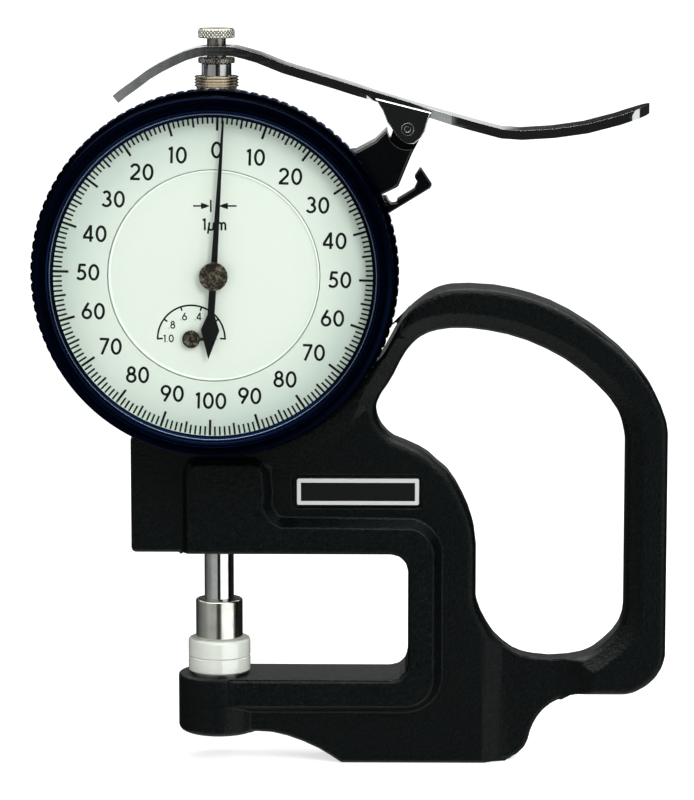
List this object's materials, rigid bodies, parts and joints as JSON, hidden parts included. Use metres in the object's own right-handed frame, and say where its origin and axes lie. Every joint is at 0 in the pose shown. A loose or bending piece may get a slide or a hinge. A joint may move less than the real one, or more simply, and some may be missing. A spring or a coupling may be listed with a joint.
{
  "type": "dial thickness gauge",
  "caption": "Hand held dial thickness gauge with a loop handle, flat ceramic contacts, a deep throat, a lifting lever and a turning bezel.",
  "frame": {"origin": "middle of the anvil's measuring face", "axes": "+Z along the spindle away from the anvil, +X from the spindle towards the handle, the dial faces -Y"},
  "size_m": [0.1004, 0.0245, 0.1174],
  "materials": {
    "black_paint": "matte black crinkle paint",
    "black_gloss": "gloss black",
    "bezel_black": "gloss black",
    "chrome": "bright plated",
    "polished_steel": "ground and polished",
    "satin_nickel": "satin",
    "case_metal": "satin",
    "plated_plate": "plated rim round a black field",
    "brass": "machined",
    "spring_steel": "blued",
    "ruby": "polished stone",
    "white_ceramic": "lapped and glossy",
    "dial_white": "satin white",
    "pointer_black": "satin black",
    "crystal_glass": "clear"
  },
  "bodies": {
    "gauge": {"frame": "black_paint", "name_plate": "plated_plate", "anvil_stud": "polished_steel", "anvil_ceramic": "white_ceramic", "stem": "polished_steel", "stem_clamp_screw": "polished_steel", "case": "case_metal", "back_cover": "case_metal", "cover_screw_1": "polished_steel", "cover_screw_2": "polished_steel", "cover_screw_3": "polished_steel", "cover_screw_4": "polished_steel", "upper_bush": "brass", "bezel_snap_ring": "polished_steel", "front_plate": "brass", "rear_plate": "brass", "pillar_1": "brass", "pillar_2": "brass", "pillar_3": "brass", "centre_rear_jewel": "ruby", "intermediate_front_jewel": "ruby", "intermediate_rear_jewel": "ruby", "sector_front_jewel": "ruby", "sector_rear_jewel": "ruby", "counter_front_jewel": "ruby", "hairspring": "spring_steel", "return_spring": "polished_steel", "spring_post": "polished_steel", "dial_plate": "dial_white", "lever_bracket": "black_gloss", "bracket_screw_1": "polished_steel", "bracket_screw_2": "polished_steel", "lever_pin": "polished_steel", "clamp_rivet": "polished_steel"},
    "bezel_group": {"bezel": "bezel_black", "crystal": "crystal_glass", "scale_ring": "dial_white", "scale_retaining_ring": "brass"},
    "pointer_group": {"centre_arbor": "polished_steel", "pointer_hub": "brass", "main_pointer": "pointer_black"},
    "counter_group": {"counter_arbor": "polished_steel", "counter_wheel": "brass", "counter_pointer": "pointer_black"},
    "intermediate_group": {"intermediate_arbor": "polished_steel", "intermediate_wheel": "brass"},
    "sector_group": {"sector_arbor": "polished_steel", "sector_lever": "brass"},
    "spindle_group": {"spindle": "polished_steel", "contact_holder": "satin_nickel", "contact_ceramic": "white_ceramic", "drive_collar": "polished_steel", "lift_knob": "polished_steel"},
    "lever_group": {"lifting_lever": "chrome"},
    "clamp_group": {"bezel_clamp": "black_gloss"}
  },
  "joints": [
    {"name": "spindle_lift", "type": "slide", "parent": "gauge", "child": "spindle_group", "axis": [0, 0, 1], "range_m": [0, 0.001], "deforming": ["return_spring"]},
    {"name": "pointer_turn", "type": "hinge", "parent": "gauge", "child": "pointer_group", "pos_m": [0, 0, 0.0626], "axis": [0, 1, 0], "range_deg": [0, 1801]},
    {"name": "sector_swing", "type": "hinge", "parent": "gauge", "child": "sector_group", "pos_m": [0.00497, 0, 0.05136], "axis": [0, 1, 0], "range_deg": [0, 11.6]},
    {"name": "intermediate_turn", "type": "hinge", "parent": "gauge", "child": "intermediate_group", "pos_m": [0.00648, 0, 0.0626], "axis": [0, 1, 0], "range_deg": [-145, 0]},
    {"name": "counter_turn", "type": "hinge", "parent": "gauge", "child": "counter_group", "pos_m": [-0.00355, 0, 0.05273], "axis": [0, 1, 0], "range_deg": [-181, 0]},
    {"name": "lever_lift", "type": "hinge", "parent": "gauge", "child": "lever_group", "pos_m": [0.0301, 0, 0.0849], "axis": [0, 1, 0], "range_deg": [0, 1.95]},
    {"name": "bezel_turn", "type": "hinge", "parent": "gauge", "child": "bezel_group", "pos_m": [0, 0, 0.0626], "axis": [0, 1, 0], "continuous": true},
    {"name": "clamp_turn", "type": "hinge", "parent": "gauge", "child": "clamp_group", "pos_m": [0.0263, 0, 0.07302], "axis": [0, 1, 0], "range_deg": [-7, 20]}
  ],
  "couplings": [
    {"joint": "pointer_turn", "follows": "spindle_lift", "rad_per_m": 31416},
    {"joint": "sector_swing", "follows": "spindle_lift", "rad_per_m": 201.06},
    {"joint": "intermediate_turn", "follows": "spindle_lift", "rad_per_m": -2513.3},
    {"joint": "counter_turn", "follows": "spindle_lift", "rad_per_m": -3141.6},
    {"joint": "lever_lift", "follows": "spindle_lift", "rad_per_m": 33.2}
  ]
}
